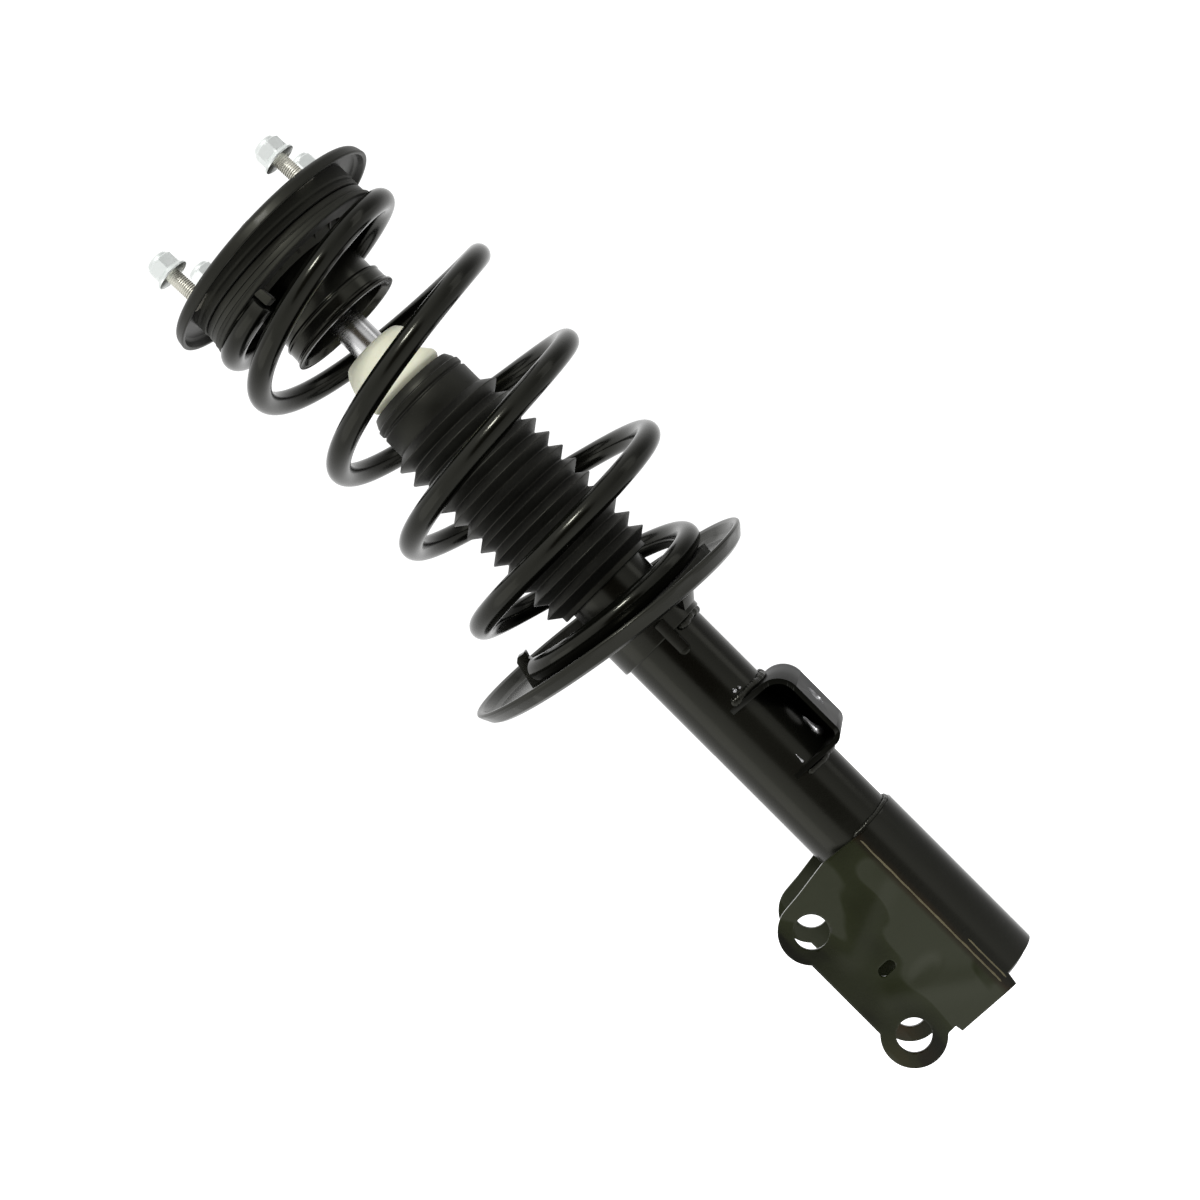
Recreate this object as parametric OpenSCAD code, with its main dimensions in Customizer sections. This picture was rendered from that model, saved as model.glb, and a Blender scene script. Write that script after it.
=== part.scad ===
// Front suspension strut, complete: top mount, swivel bearing, coil spring,
// bump stop, dust boot, twin-tube damper, link bracket and knuckle bracket.
// Millimetres. +Z runs up the piston rod. The origin is the centre of the
// face that meets the body tower. Everything hangs below it at full droop.

/* [Top mount] */
// Outer radius of the mount plate
plate_r = 74.5; // [72:0.5:80]
// Sheet thickness of the mount plate
plate_t = 3; // [2.5:0.5:4]
// Lean of the tower face against the rod, in degrees
mount_tilt = 2.3; // [0:0.1:3]
// Circle that the studs stand on
stud_pcd = 121; // [116:1:124]
// Number of studs
stud_count = 4; // [3:1:6]
// Stud diameter
stud_d = 9; // [8:0.5:10]
// Height of the studs above the tower face
stud_h = 27.5; // [26:0.5:34]
// Underside of the flange nuts above the tower face
nut_z = 15; // [14:0.5:18]

/* [Rod and damper] */
// Piston rod diameter
rod_d = 20; // [18:0.5:22]
// Outer diameter of the strut tube
tube_d = 50.8; // [50:0.2:52]
// Wall of the strut tube
tube_wall = 2.6; // [2:0.2:3]
// Height of the tube's closed end
tube_end = -579; // [-586:1:-576]
// Suspension travel from full droop
travel = 110; // [104:1:112]

/* [Bump stop and boot] */
// Height of the foam's top face
foam_top = -84; // [-86:1:-82]
// Length of the foam
foam_h = 78; // [74:1:78]
// Largest radius of the foam
foam_r = 24.5; // [23:0.5:24.5]
// Height of the boot's top edge
boot_top = -115; // [-117:1:-113]
// Number of boot folds
boot_folds = 12; // [8:1:14]
// Radius of the boot's ridges
boot_ridge_r = 38; // [35:0.5:39]
// Radius of the boot's valleys
boot_valley_r = 31; // [30:0.5:32]

/* [Coil spring] */
// Wire diameter
wire_d = 13.5; // [12:0.5:13.5]
// Centreline radius of the middle coils
coil_r = 70.5; // [68:0.5:71]
// Number of turns
coil_turns = 5.12; // [5:0.02:5.12]
// Rise of one middle turn
coil_pitch = 62.6; // [60:0.2:63]
// Sideways bow of the middle coils
coil_bow = 10; // [6:0.5:11]

/* [Lower spring seat] */
// Rim radius
seat_r = 91.5; // [88:0.5:94]
// Sideways lean, in degrees
seat_lean = 8.5; // [6:0.5:10]
// Fore and aft lean, in degrees
seat_pitch = 4.8; // [3:0.1:6]

/* [Brackets] */
// Distance between the two knuckle bolts
bolt_pitch = 80; // [70:1:80]
// Diameter of the knuckle bolt holes
bolt_hole_d = 20; // [14:0.5:20]
// Height of the upper knuckle bolt
bolt_top_z = -485; // [-487:1:-483]
// Sheet thickness of the knuckle bracket
bracket_t = 3; // [2.5:0.5:4]
// Reach of the link bracket from the rod axis
link_reach = 39; // [38:0.5:44]
// Turn of the link bracket about the rod axis, in degrees
link_yaw = -4; // [-8:1:0]
// Diameter of the link hole
link_hole_d = 12.2; // [10.2:0.5:14.2]

/* [Hidden] */
$fn = 96;
gap = 0.3;              // room between a moving and a still face
run = 0.05;             // radial clearance of a sliding fit
cut = 0.5;              // overshoot of a cutting solid
lip_h = 8;              // drop of the mount plate's rolled edge
knurl_r = 5;            // pressed part of each stud, inside the plate
thread_r = 4.35;        // threaded part, above the plain shank
thread_z = 12;          // where the thread starts
hub_r = 36;             // hole in the mount plate for the rubber
stem_r = 7;             // threaded end of the rod
stem_z = 15;            // its top, just above the rod nut
shoulder_z = -20;       // where the rod steps down to its stem
race_r = 48;            // pitch circle of the bearing balls
ball_d = 4;
ball_count = 28;
race_z = -9.5;          // centre height of the balls
race_top_z = -6.2;      // level underside of the mount's rubber ring
race_t = 2.6;           // thickness of each race
race_w = 5.2;           // half of its radial width
seat_top_z = -14.8;     // top of the turning upper seat's outer band
insulator_z = -22.4;    // where the rubber insulator's outer band starts
coil_top_z = -31.6;     // wire centre of the closed top turn
coil_start = -0.025;    // where the wire's cut end is, in turns
top_flat = 0.72;        // turns of closed coil at the top
low_flat = 4.745;       // where the bottom turn closes
start_a = -112;         // bearing of the top end, in degrees
ring_sides = 12;        // facets round the wire
rings_per_turn = 26;
cup_lip_z = -64.6;      // open end of the jounce cup
cup_roof_z = -52;       // face inside it that meets the foam
tube_top = cup_roof_z - foam_h - 6 - travel;    // the foam fits above it at full travel
rod_r = rod_d / 2;
tube_r = tube_d / 2;
bore_r = tube_r - tube_wall;
wrap_r = tube_r + bracket_t;
piston_z = tube_top - 60;   // underside of the piston at full droop
cylinder_r = 15;        // bore of the working cylinder
seat_x = -12.6;         // centre of the lower seat
seat_z = -282;          // height of the lower seat's rim there
dish_d = 7.5;           // depth of the lower seat's floor
fold_top = -139.5;      // first and last valley of the boot
fold_low = -266;
boot_wall = 1.4;
pad_start = 4.7;        // turns after which the pad carries the wire
pad_w = 6;              // half of the pad's width
collar_end_z = -314;
link_top_z = -366.8;    // top of the link bracket at the tube
link_h = 52.8;
link_t = 2.8;
link_slope = 2.6;       // drop of each leg, from the tube to the outer wall
link_front_y = -25.2;
link_back_y = 25;
link_hole_z = -396;
wrap_top_z = -465;
wrap_end_z = -575;
ear_x = -53;            // column of the knuckle bolts
ear_r = 18.6;           // rounding of the ears round the bolts
ear_edge_x = -66;
ear_end_z = -577;
tab_z = -583.2;

// ---- helpers -------------------------------------------------------------

module tube(r_out, r_in, z_low, z_high) {
    translate([0, 0, z_low])
        difference() {
            cylinder(r = r_out, h = z_high - z_low);
            translate([0, 0, -cut]) cylinder(r = r_in, h = z_high - z_low + 2 * cut);
        }
}

module rod_solid(r, z_low, z_high) {
    translate([0, 0, z_low]) cylinder(r = r, h = z_high - z_low);
}

// The mount leans with its tower face: +X side high.
module leaning() {
    rotate([0, -mount_tilt, 0]) children();
}

module around_studs() {
    for (i = [0 : stud_count - 1])
        let ($side = cos((i + 0.5) * 360 / stud_count))
            rotate([0, 0, (i + 0.5) * 360 / stud_count])
                translate([stud_pcd / 2, 0, 0]) children();
}

// The lower seat leans two ways about a point beside the tube.
module leaning_seat() {
    translate([seat_x, 0, seat_z]) rotate([seat_pitch, seat_lean, 0]) children();
}

// ---- top mount -------------------------------------------------------------

module mount_plate() {
    color("dimgray") leaning()
        difference() {
            rotate_extrude() polygon([
                [hub_r - 6, 6], [hub_r + 2, 6], [hub_r + 9, 0], [plate_r - 7, 0],
                [plate_r - 2.6, -1.2], [plate_r - 0.6, -3.6], [plate_r, -lip_h],
                [plate_r - plate_t, -lip_h], [plate_r - 3.6, -5], [plate_r - 7.5, -plate_t],
                [hub_r + 6, -plate_t], [hub_r - 1, 3], [hub_r - 6, 3]]);
            around_studs() translate([0, 0, -plate_t - cut])
                cylinder(r = knurl_r + run, h = plate_t + 2 * cut);
        }
}

// Bonded rubber: a cushion in the hub, and a ring under the plate whose
// underside is level, so the bearing stays square to the rod.
module mount_rubber() {
    color("#1c1c1c")
        difference() {
            union() {
                leaning() rotate_extrude() polygon([
                    [14, -12], [28, -12], [29.9, -8], [29.9, 8.5], [27, 10],
                    [23.5, 8.5], [22, -1.5], [14, -1.5]]);
                difference() {
                    union() {
                        tube(race_r + race_w + 0.5, 40, race_top_z, -1);
                        tube(59.6, 57.6, seat_top_z + 0.6, 1);
                    }
                    leaning() translate([0, 0, -plate_t]) cylinder(r = 70, h = 20);
                    leaning() cylinder(r = hub_r + 6, h = 20, center = true);
                }
            }
            rod_solid(13.6, -30, 20);
            leaning() around_studs() translate([0, 0, -plate_t - 3]) cylinder(r = 8, h = 3 + cut);
        }
}

module core_sleeve() {
    color("silver") tube(13.5, stem_r + 0.2, shoulder_z, 1);
}

// Head under the plate, pressed knurl in it, plain shank for the tower, then the thread.
module mount_studs() {
    tip_h = 1.5;
    color("#b9b4a0") leaning() around_studs() {
        rod_solid(6.6, -plate_t - 2, -plate_t);
        rod_solid(knurl_r, -plate_t, 0);
        rod_solid(stud_d / 2, 0, thread_z);
        rod_solid(thread_r, thread_z, stud_h - tip_h);
        translate([0, 0, stud_h - tip_h])
            cylinder(r1 = thread_r, r2 = thread_r - tip_h, h = tip_h, $fn = 48);
    }
}

// Run on by hand: the nuts stand level with each other, not with the leaning plate.
module stud_nuts() {
    color("#d5dcd8") leaning() around_studs() translate([0, 0, nut_z - 1.7 * $side])
        difference() {
            union() {
                cylinder(d = 20.5, h = 1.6);
                translate([0, 0, 1.6]) cylinder(d1 = 20.5, d2 = 16, h = 1.6);
                rotate([0, 0, 15]) cylinder(d = 17.4, h = 10.5, $fn = 6);
                translate([0, 0, 10.5]) cylinder(d1 = 15, d2 = 11.5, h = 2.2);
            }
            translate([0, 0, -cut]) cylinder(r = thread_r + run, h = 14);
        }
}

module upper_bearing_race() {
    color("silver") race(race_top_z - race_t, race_top_z);
}

module race(z_low, z_high) {
    difference() {
        tube(race_r + race_w, race_r - race_w, z_low, z_high);
        translate([0, 0, race_z])
            rotate_extrude() translate([race_r, 0]) circle(d = ball_d + 0.1, $fn = 48);
    }
}

module piston_rod() {
    color("gainsboro") {
        rod_solid(stem_r, shoulder_z - cut, stem_z);
        rod_solid(rod_r, piston_z + 20, shoulder_z);
        rod_solid(6, piston_z - 14, piston_z + 20.5);
    }
}

module rod_washer() {
    color("silver") tube(20, stem_r + 0.3, 1, 4);
}

module rod_nut() {
    color("silver") difference() {
        union() {
            translate([0, 0, 4]) cylinder(r = 14, h = 2);
            translate([0, 0, 6]) cylinder(d = 24.2, h = 7.5, $fn = 6);
        }
        rod_solid(stem_r + 0.1, 3, 15);
    }
}

// ---- inside the damper -----------------------------------------------------

module rebound_stop() {
    color("#3a3a3a") tube(14, rod_r, piston_z + 24.5, piston_z + 32.5);
}

module valve_shims() {
    color("silver") {
        tube(12.5, 6.1, piston_z + 15.2, piston_z + 17);
        tube(10.5, 6.1, piston_z + 17, piston_z + 19.9);
        tube(12, 6.1, piston_z - 2, piston_z - 0.1);
    }
}

module piston() {
    color("darkgray") difference() {
        tube(cylinder_r - 0.6, 6.1, piston_z, piston_z + 15);
        tube(cylinder_r, cylinder_r - 2, piston_z + 4, piston_z + 11);
        for (i = [0 : 5]) rotate([0, 0, i * 60])
            translate([10, 0, piston_z - cut]) cylinder(d = 2.6, h = 16, $fn = 24);
    }
}

module piston_band() {
    color("#35524a") tube(cylinder_r - run, cylinder_r - 2, piston_z + 4.1, piston_z + 10.9);
}

module piston_nut() {
    color("silver") difference() {
        translate([0, 0, piston_z - 10]) cylinder(d = 19, h = 7.9, $fn = 6);
        rod_solid(6.1, piston_z - 11, piston_z);
    }
}

module reserve_tube() {
    color("#26282a") tube(tube_r, bore_r, tube_end + 8, tube_top - 6);
}

module base_cap() {
    color("#26282a") rotate_extrude() polygon([
        [0, tube_end], [tube_r - 6, tube_end], [tube_r - 2, tube_end + 2],
        [tube_r, tube_end + 8 - 0.05], [bore_r, tube_end + 8 - 0.05], [bore_r - 2, tube_end + 4],
        [0, tube_end + 4]]);
}

module gland_cap() {
    color("#2b2d2f") tube(tube_r, rod_r + 1, tube_top - 5.9, tube_top);
}

module rod_seal() {
    color("#1a1a1a") difference() {
        tube(bore_r - 0.1, rod_r + run, tube_top - 9.9, tube_top - 6);
        rod_solid(rod_r + 1.5, tube_top - 7.5, tube_top - 5);
    }
}

module rod_guide() {
    color("darkgray") difference() {
        union() {
            rod_solid(bore_r - 0.1, tube_top - 18, tube_top - 10);
            rod_solid(cylinder_r - 0.1, tube_top - 27, tube_top - 18);
        }
        rod_solid(rod_r + 1.5, tube_top - 30, tube_top);
    }
}

module guide_bush() {
    color("#8a6a3a") tube(rod_r + 1.45, rod_r + run, tube_top - 27, tube_top - 12);
}

module working_cylinder() {
    color("silver") tube(cylinder_r + 1.5, cylinder_r, tube_end + 20, tube_top - 18.1);
}

module foot_valve() {
    color("darkgray") difference() {
        union() {
            rod_solid(cylinder_r - 0.1, tube_end + 20, tube_end + 30);
            rod_solid(cylinder_r + 3, tube_end + 10, tube_end + 19.9);
            rod_solid(cylinder_r - 3, tube_end + 4.1, tube_end + 10);
        }
        for (i = [0 : 5]) rotate([0, 0, i * 60])
            translate([9, 0, tube_end + 3]) cylinder(d = 2.4, h = 30, $fn = 24);
    }
}

// ---- turning upper seat ----------------------------------------------------

module bearing_cage() {
    color("ivory") difference() {
        tube(52.5, 43.5, race_z - 0.7, race_z + 0.7);
        bearing_places() sphere(d = ball_d + 0.3, $fn = 32);
    }
}

module bearing_places() {
    for (i = [0 : ball_count - 1])
        rotate([0, 0, i * 360 / ball_count]) translate([race_r, 0, race_z]) children();
}

module bearing_balls() {
    color("silver") bearing_places() sphere(d = ball_d - 0.1, $fn = 32);
}

module lower_bearing_race() {
    color("silver") race(2 * race_z - race_top_z, 2 * race_z - race_top_z + race_t);
}

module upper_spring_seat() {
    color("#2a2c2e") rotate_extrude() polygon([
        [30, -12.9], [56.2, -12.9], [56.8, seat_top_z], [59.4, seat_top_z - 0.4],
        [59.8, insulator_z], [56.5, insulator_z], [56, -15.5], [42, -15.5],
        [38, -19], [33.2, -26], [30, -26]]);
}

// Rubber wedge: its top is level and its underside leans like the top coil.
module upper_insulator() {
    color("#161616") difference() {
        rotate_extrude() polygon([
            [40, -17.6], [42.3, -15.75], [55.8, -15.75], [56.3, insulator_z - 0.1],
            [60.6, insulator_z - 0.1], [61.4, -24], [61.4, -40], [40, -40]]);
        leaning() translate([0, 0, coil_top_z - 40 + wire_d / 2 + gap]) cylinder(r = 80, h = 40);
    }
}

// Cap pressed under the seat; the foam runs into its open end.
module jounce_cup() {
    color("#141414") difference() {
        rotate_extrude() polygon([
            [rod_r + 1.5, -26.1], [32.6, -26.1], [32.6, -52], [34.6, -53], [34.6, -61],
            [35.8, -63], [36.2, cup_lip_z], [32.8, cup_lip_z], [30.4, -61.5],
            [30, cup_roof_z], [rod_r + 1.5, cup_roof_z]]);
        tube(27, 15, -40, -25);
    }
}

// ---- coil spring -----------------------------------------------------------

function soft(t) = let (s = min(1, max(0, t))) s * s * (3 - 2 * s);
function corner(t, w) = t <= -w ? 0 : t >= w ? t : (t + w) * (t + w) / (4 * w);
function coil_drop(t) = coil_pitch * (corner(t - top_flat, 0.18) - corner(t - low_flat, 0.35));
function coil_rad(t) = coil_r - 17 * (1 - soft(t / 1.5)) - 19 * soft((t - 3.9) / 1.1);
function coil_cx(t) = coil_bow * (1 - pow((t - 2.4) / 1.9, 2));
function coil_lean(t) = mount_tilt - (mount_tilt + seat_lean) * soft((t - 1) / 3.4);
function coil_pitch_lean(t) = 4 * soft((t - 3) / 2);
function coil_point(t) =
    let (a = start_a - 360 * t, x = coil_cx(t) + coil_rad(t) * cos(a), y = coil_rad(t) * sin(a))
    [x, y, coil_top_z - coil_drop(t) + x * tan(coil_lean(t)) + y * tan(coil_pitch_lean(t))];
function unit(v) = v / norm(v);
function ring(t) =
    let (p = coil_point(t), along = unit(coil_point(t + 0.002) - coil_point(t - 0.002)),
         side = unit(cross([0, 0, 1], along)), up = cross(along, side))
    [for (k = [0 : ring_sides - 1])
        let (b = 360 * k / ring_sides) p + wire_d / 2 * (cos(b) * side + sin(b) * up)];

module sweep(rings) {
    n = len(rings);
    m = len(rings[0]);
    points = [for (r = rings, p = r) p];
    walls = [for (i = [0 : n - 2], k = [0 : m - 1])
        [i * m + k, i * m + (k + 1) % m, (i + 1) * m + (k + 1) % m, (i + 1) * m + k]];
    first = [for (k = [m - 1 : -1 : 0]) k];
    last = [for (k = [0 : m - 1]) (n - 1) * m + k];
    polyhedron(points, concat(walls, [first, last]));
}

module coil_spring() {
    steps = ceil(coil_turns * rings_per_turn);
    color("#1b1b1b")
        sweep([for (i = [0 : steps]) ring(coil_start + i * (coil_turns - coil_start) / steps)]);
}

// ---- bump stop and boot ----------------------------------------------------

module bump_stop() {
    z = foam_top;
    h = foam_h;
    color("#ece6c2") rotate_extrude() polygon([
        [rod_r + gap, z], [16, z], [21.5, z - 0.06 * h], [foam_r, z - 0.14 * h],
        [foam_r, z - 0.17 * h], [18.8, z - 0.23 * h], [foam_r, z - 0.33 * h],
        [foam_r, z - 0.37 * h], [18.8, z - 0.45 * h], [23.5, z - 0.52 * h],
        [23.5, z - 0.58 * h], [17, z - 0.66 * h], [20.5, z - 0.74 * h],
        [20.5, z - 0.8 * h], [15, z - 0.88 * h], [16, z - h], [rod_r + gap, z - h]]);
}

function fold_pitch() = (fold_top - fold_low) / boot_folds;
function fold_points(inset) = [for (i = [0 : boot_folds - 1], k = [0, 1])
    [k == 0 ? boot_valley_r - inset : boot_ridge_r - inset,
     fold_top - (i + k / 2) * fold_pitch()]];

module dust_boot() {
    top_cuff = [[foam_r + 0.4, boot_top], [27.2, boot_top], [29.2, boot_top - 4],
        [30.6, boot_top - 5], [30.6, boot_top - 9], [29, boot_top - 10.2], [30.8, boot_top - 11.6],
        [30.8, fold_top + 1.5]];
    low_cuff = [[boot_valley_r, fold_low], [boot_valley_r, fold_low - 3.5],
        [tube_r + gap, fold_low - 3.5], [tube_r + gap, fold_low], [boot_valley_r - boot_wall, fold_low + 1]];
    inner = fold_points(boot_wall);
    inner_upward = [for (i = [len(inner) - 1 : -1 : 0]) inner[i]];
    top_bore = [[28.6, fold_top + 1.5], [28.6, boot_top - 13], [27, boot_top - 10.4],
        [foam_r + 0.4, boot_top - 9]];
    color("#1e1e1e") rotate_extrude()
        polygon(concat(top_cuff, fold_points(0), low_cuff, inner_upward, top_bore));
}

// ---- lower seat ------------------------------------------------------------

module tube_room(r) {
    translate([0, 0, -340]) cylinder(r = r, h = 120);
}

module lower_spring_seat() {
    t = 2.4;
    color("#2c2e30") difference() {
        leaning_seat() rotate_extrude() polygon([
            [12, -dish_d], [81, -dish_d], [83.5, -6], [87.4, -1], [89, 0], [seat_r - 1, 0],
            [seat_r, -1.2], [seat_r - 0.8, -3.6], [seat_r - 4, -dish_d - 1],
            [seat_r - 6.5, -dish_d - t], [12, -dish_d - t]]);
        tube_room(tube_r + 0.1);
    }
}

// A point as the leaning seat sees it.
function in_seat(p) =
    let (q = p - [seat_x, 0, seat_z],
         x = q.x * cos(seat_lean) - q.z * sin(seat_lean),
         z = q.x * sin(seat_lean) + q.z * cos(seat_lean))
    [x, q.y * cos(seat_pitch) + z * sin(seat_pitch), z * cos(seat_pitch) - q.y * sin(seat_pitch)];

// Section of the pad under the wire, after t turns.
function pad_ring(t) =
    let (p = in_seat(coil_point(t)), r = norm([p.x, p.y]), floor_z = -dish_d + 0.05,
         top = max(floor_z + 0.6, p.z - wire_d / 2 - gap))
    [for (c = [[-pad_w, floor_z], [pad_w, floor_z], [pad_w, top], [-pad_w, top]])
        [p.x * (1 + c[0] / r), p.y * (1 + c[0] / r), c[1]]];

// Rubber ramp between the dish and the bottom turn.
module lower_spring_pad() {
    steps = 16;
    color("#171717") leaning_seat()
        sweep([for (i = [0 : steps]) pad_ring(pad_start + (coil_turns - pad_start) * i / steps)]);
}

// Upright tab that stops the spring's cut end from turning.
module spring_end_stop() {
    color("#232527") leaning_seat() translate([-51.5, 4.5, -dish_d + 0.05])
        rotate([90, 0, 0]) linear_extrude(9) polygon([
            [-6, 0], [4.5, 0], [4, 10], [2.2, 15], [3, 19], [0.5, 18.2],
            [-2.6, 18.6], [-4.6, 16], [-5, 9]]);
}

module seat_collar() {
    color("#25272a") difference() {
        union() {
            rod_solid(tube_r + 2.9, collar_end_z, -283);
            translate([16, -6, collar_end_z + 12]) rotate([0, 28, 0]) cube([24, 12, 7], center = true);
        }
        tube_room(tube_r + 0.05);
        leaning_seat() translate([0, 0, -dish_d - 2.45]) cylinder(r = 100, h = 60);
    }
}

// Hangs over the collar, and its rounded end rests on the tube.
module locating_tab() {
    color("#25272a") difference() {
        translate([8.4, -tube_r - 5.6, -328]) union() {
            translate([-3.2, 0, 3.2]) cube([6.4, 10, 19.8]);
            translate([0, 10, 3.2]) rotate([90, 0, 0]) cylinder(r = 3.2, h = 10);
        }
        rod_solid(tube_r + 0.02, -340, -290);
        rod_solid(tube_r + 2.95, collar_end_z - 0.05, -290);
    }
}

// ---- brackets --------------------------------------------------------------

// Outline of the box in side view, drawn inset mm inside its outer face.
module link_outline(x0, inset) {
    top = link_top_z - inset;
    low = link_top_z - link_h + inset;
    x1 = link_reach - inset;
    r_high = 14 - inset;
    r_low = 7 - inset;
    foot = low - 0.4 * link_slope;
    polygon(concat(
        [[x0, low]],
        [for (a = [-90 : 10 : 0])
            [x1 - r_low + r_low * cos(a), foot + r_low + r_low * sin(a)]],
        [for (a = [0 : 10 : 90])
            [x1 - r_high + r_high * cos(a), top - link_slope - r_high + r_high * sin(a)]],
        [[x0, top]]));
}

// Open box: two legs, an outer wall with the link hole, and a back wall.
module link_bracket() {
    depth = link_back_y - link_front_y;
    color("#222426") difference() {
        rotate([0, 0, link_yaw]) difference() {
            translate([0, link_back_y, 0]) rotate([90, 0, 0]) linear_extrude(depth)
                link_outline(3, 0);
            translate([0, link_back_y - link_t, 0]) rotate([90, 0, 0]) linear_extrude(depth)
                link_outline(-cut, link_t);
            translate([link_reach - link_t - 2, 0, link_hole_z])
                rotate([0, 90, 0]) cylinder(d = link_hole_d, h = 10);
        }
        rod_solid(tube_r + 0.05, link_top_z - link_h - 10, link_top_z + 5);
    }
}

// Side view of an ear: the two eyes, the straight edge and the tab below.
module ear_shape() {
    low_z = bolt_top_z - bolt_pitch;
    difference() {
        union() {
            translate([ear_x, bolt_top_z]) circle(r = ear_r);
            translate([ear_x, low_z]) circle(r = ear_r);
            polygon([[3, wrap_top_z + 0.5], [-22, wrap_top_z + 3], [-50, bolt_top_z + ear_r - 0.2],
                [ear_edge_x, bolt_top_z + 10], [ear_edge_x, low_z - 10], [-42, ear_end_z],
                [-33, ear_end_z], [-32, tab_z + 1.6], [7, tab_z], [8, ear_end_z + 2], [3, ear_end_z + 3]]);
        }
        translate([ear_x, bolt_top_z]) circle(d = bolt_hole_d);
        translate([ear_x, low_z]) circle(d = bolt_hole_d);
        for (s = [-1, 1]) translate([-37.5 + s * 2.2, -528]) circle(r = 3.3);
        translate([-37.5, -528]) square([4.4, 6.6], center = true);
    }
}

module knuckle_bracket() {
    color("#20221c") difference() {
        union() {
            intersection() {
                rod_solid(wrap_r, wrap_end_z, wrap_top_z);
                translate([0, -50, -600]) cube([50, 100, 200]);
            }
            for (y = [-tube_r, wrap_r]) translate([0, y, 0])
                rotate([90, 0, 0]) linear_extrude(bracket_t) ear_shape();
        }
        rod_solid(tube_r + 0.02, -600, -450);
    }
}

// A fillet weld round part of the tube: foot on the tube, leg on the sheet.
module fillet(z, h, w, from, span) {
    rotate([0, 0, from]) rotate_extrude(angle = span)
        polygon([[tube_r + 0.05, z], [tube_r + w, z], [tube_r + 0.05, z + h]]);
}

module tube_welds() {
    color("#34363a") {
        fillet(link_top_z + 0.05, 5, 4.5, -84, 160);
        fillet(link_top_z - link_h - 0.4 * link_slope - 0.05, -4, 4, -76, 152);
        fillet(wrap_top_z + 0.05, 2.6, 2.6, -81, 162);
        fillet(collar_end_z - 0.05, -3.4, 2.8, -60, 60);
    }
}

mount_plate();
mount_rubber();
core_sleeve();
mount_studs();
stud_nuts();
upper_bearing_race();
piston_rod();
rod_washer();
rod_nut();
rebound_stop();
valve_shims();
piston();
piston_band();
piston_nut();
bearing_cage();
bearing_balls();
lower_bearing_race();
upper_spring_seat();
upper_insulator();
jounce_cup();
coil_spring();
bump_stop();
dust_boot();
reserve_tube();
base_cap();
gland_cap();
rod_seal();
rod_guide();
guide_bush();
working_cylinder();
foot_valve();
lower_spring_seat();
lower_spring_pad();
spring_end_stop();
seat_collar();
locating_tab();
link_bracket();
knuckle_bracket();
tube_welds();
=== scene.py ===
import math
import random

import bmesh
import bpy
import numpy as np
from mathutils import Matrix, Vector, noise
from mathutils.geometry import tessellate_polygon


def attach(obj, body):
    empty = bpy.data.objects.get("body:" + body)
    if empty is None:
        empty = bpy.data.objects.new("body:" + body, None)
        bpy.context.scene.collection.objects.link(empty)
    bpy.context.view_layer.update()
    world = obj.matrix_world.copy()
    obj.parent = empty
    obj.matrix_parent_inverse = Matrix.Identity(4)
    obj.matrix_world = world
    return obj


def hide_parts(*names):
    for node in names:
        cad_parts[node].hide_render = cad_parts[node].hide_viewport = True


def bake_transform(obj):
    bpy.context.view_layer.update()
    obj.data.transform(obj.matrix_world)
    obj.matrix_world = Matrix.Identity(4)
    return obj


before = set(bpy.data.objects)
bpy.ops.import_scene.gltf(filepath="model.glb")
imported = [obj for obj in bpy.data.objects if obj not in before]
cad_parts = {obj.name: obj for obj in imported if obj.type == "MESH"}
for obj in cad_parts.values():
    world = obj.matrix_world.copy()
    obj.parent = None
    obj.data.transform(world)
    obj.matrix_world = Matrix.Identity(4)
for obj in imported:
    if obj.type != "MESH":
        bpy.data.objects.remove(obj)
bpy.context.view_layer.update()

MM = 0.001

# ---- driving sizes, in millimetres, as the CAD model has them ----

MOUNT_LEAN = 2.3
PLATE_R = 74.5
PLATE_T = 3.0
LIP_H = 8.0
STUD_PCD = 121.0
STUD_R = 4.5
STUD_H = 27.5
STUD_PITCH = 1.25
NUT_Z = 15.0
NUT_STAGGER = 1.7
NUT_ACROSS = 15.2
ROD_R = 10.0
ROD_LOW = -306.0
ROD_NECK_R = 7.0
ROD_PITCH = 1.5
TUBE_R = 25.4
TUBE_TOP = -246.0
TUBE_END = -579.0
COIL_TOP_Z = -31.6
WIRE_R = 6.75
COIL_R = 70.5
COIL_TOP_NARROW = 17
COIL_LOW_NARROW = 19
COIL_FIRST = -0.025
COIL_TURNS = 5.12
COIL_PITCH = 62.6
COIL_BOW = 10.0
COIL_START = -112.0
TOP_FLAT = 0.72
LOW_FLAT = 4.745
FOAM_TOP = -84.0
FOAM_R = 24.5
FOAM_H = 78
BOOT_TOP = -115.0
FOLD_TOP = -139.5
FOLD_LOW = -266.0
FOLDS = 12
RIDGE_R = 38.0
VALLEY_R = 31.0
BOOT_WALL = 1.4
SEAT_X = -12.6
SEAT_Z = -282.0
SEAT_R = 91.5
SEAT_LEAN = 8.5
SEAT_PITCH = 4.8
SEAT_T = 2.4
DISH_D = 7.5
STOP_X = -51.5
COLLAR_LOW = -314
COLLAR_R = 28.3
TAB_X = 8.4
TAB_Z = -328
BRACKET_T = 3.0
WRAP_TOP = -465.0
WRAP_END = -575.0
EAR_X = -53.0
EAR_R = 18.6
EAR_EDGE = -66.0
BOLT_Z = (-485.0, -565.0)
BOLT_R = 10.0
SLOT = (-37.5, -528, 11, 6.6)
LINK_TOP = -366.8
LINK_H = 52.8
LINK_T = 2.8
LINK_SLOPE = 2.6
LINK_REACH = 39.0
LINK_Y = (-25.2, 25.0)
LINK_YAW = -4.0
LINK_HOLE_Z = -396.0
LINK_HOLE_R = 6.1

# ---- camera ----

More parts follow.
